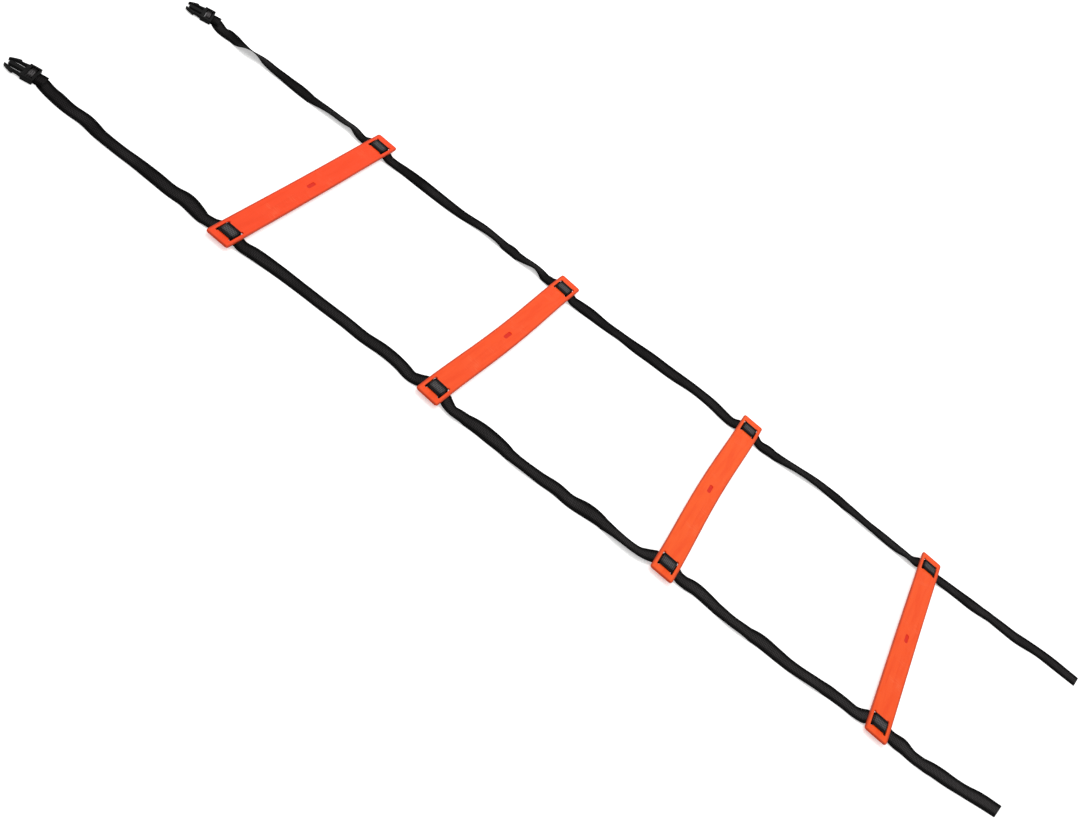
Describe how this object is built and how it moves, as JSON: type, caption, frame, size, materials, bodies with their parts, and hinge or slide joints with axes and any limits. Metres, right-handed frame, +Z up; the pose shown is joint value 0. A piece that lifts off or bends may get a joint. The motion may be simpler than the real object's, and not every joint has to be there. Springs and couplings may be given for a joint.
{
  "type": "agility ladder",
  "caption": "Flat floor ladder for footwork drills: slotted plastic slats woven onto two webbing straps, with a plug buckle half at one end.",
  "frame": {"origin": "centre of the bounding box, on the floor", "axes": "+X along the straps from the buckle end to the bare end, +Y from the near strap to the far strap, +Z up"},
  "size_m": [1.8124, 0.4434, 0.0143],
  "materials": {
    "rung_plastic": "moulded polypropylene, satin",
    "webbing": "woven polypropylene strap",
    "buckle_plastic": "moulded acetal, satin"
  },
  "bodies": {
    "webbing_1": {"start_tail_near": "webbing", "start_tail_far": "webbing", "span_12_near_a": "webbing", "span_12_far_a": "webbing"},
    "webbing_2": {"span_12_near_b": "webbing", "span_12_far_b": "webbing", "span_23_near_a": "webbing", "span_23_far_a": "webbing"},
    "webbing_3": {"span_23_near_b": "webbing", "span_23_far_b": "webbing", "span_34_near_a": "webbing", "span_34_far_a": "webbing"},
    "webbing_4": {"span_34_near_b": "webbing", "span_34_far_b": "webbing", "end_tail_near": "webbing", "end_tail_far": "webbing"},
    "slat_1": {"rung_1": "rung_plastic", "weave_1_near": "webbing", "weave_1_far": "webbing"},
    "slat_2": {"rung_2": "rung_plastic", "weave_2_near": "webbing", "weave_2_far": "webbing"},
    "slat_3": {"rung_3": "rung_plastic", "weave_3_near": "webbing", "weave_3_far": "webbing"},
    "slat_4": {"rung_4": "rung_plastic", "weave_4_near": "webbing", "weave_4_far": "webbing"},
    "clip_near": {"buckle_near": "buckle_plastic", "threading_near": "webbing"},
    "clip_far": {"buckle_far": "buckle_plastic", "threading_far": "webbing"}
  },
  "joints": [
    {"name": "fold_12", "type": "hinge", "parent": "webbing_2", "child": "webbing_1", "pos_m": [-0.34581, 0, 0.016], "axis": [0, 1, 0], "range_deg": [0, 172]},
    {"name": "fold_23", "type": "hinge", "parent": "webbing_2", "child": "webbing_3", "pos_m": [0.01973, 0, -0.004], "axis": [0, 1, 0], "range_deg": [0, 178]},
    {"name": "fold_34", "type": "hinge", "parent": "webbing_3", "child": "webbing_4", "pos_m": [0.39167, 0, 0.016], "axis": [0, -1, 0], "range_deg": [0, 178]},
    {"name": "slat_1_slide", "type": "slide", "parent": "webbing_1", "child": "slat_1", "axis": [1, 0, 0], "range_m": [-0.03, 0.03], "deforming": ["start_tail_near", "start_tail_far", "span_12_near_a", "span_12_far_a"]},
    {"name": "slat_2_slide", "type": "slide", "parent": "webbing_2", "child": "slat_2", "axis": [1, 0, 0], "range_m": [-0.03, 0.03], "deforming": ["span_12_near_b", "span_12_far_b", "span_23_near_a", "span_23_far_a"]},
    {"name": "slat_3_slide", "type": "slide", "parent": "webbing_3", "child": "slat_3", "axis": [1, 0, 0], "range_m": [-0.03, 0.03], "deforming": ["span_23_near_b", "span_23_far_b", "span_34_near_a", "span_34_far_a"]},
    {"name": "slat_4_slide", "type": "slide", "parent": "webbing_4", "child": "slat_4", "axis": [1, 0, 0], "range_m": [-0.03, 0.03], "deforming": ["span_34_near_b", "span_34_far_b", "end_tail_near", "end_tail_far"]},
    {"name": "clip_near_swing", "type": "hinge", "parent": "webbing_1", "child": "clip_near", "pos_m": [-0.85984, -0.17252, 0.00075], "axis": [-0.2588, 0.9659, 0], "range_deg": [-45, 45], "deforming": ["start_tail_near"]},
    {"name": "clip_far_swing", "type": "hinge", "parent": "webbing_1", "child": "clip_far", "pos_m": [-0.82709, 0.20302, 0.00075], "axis": [-0.3256, 0.9455, 0], "range_deg": [-45, 45], "deforming": ["start_tail_far"]}
  ]
}
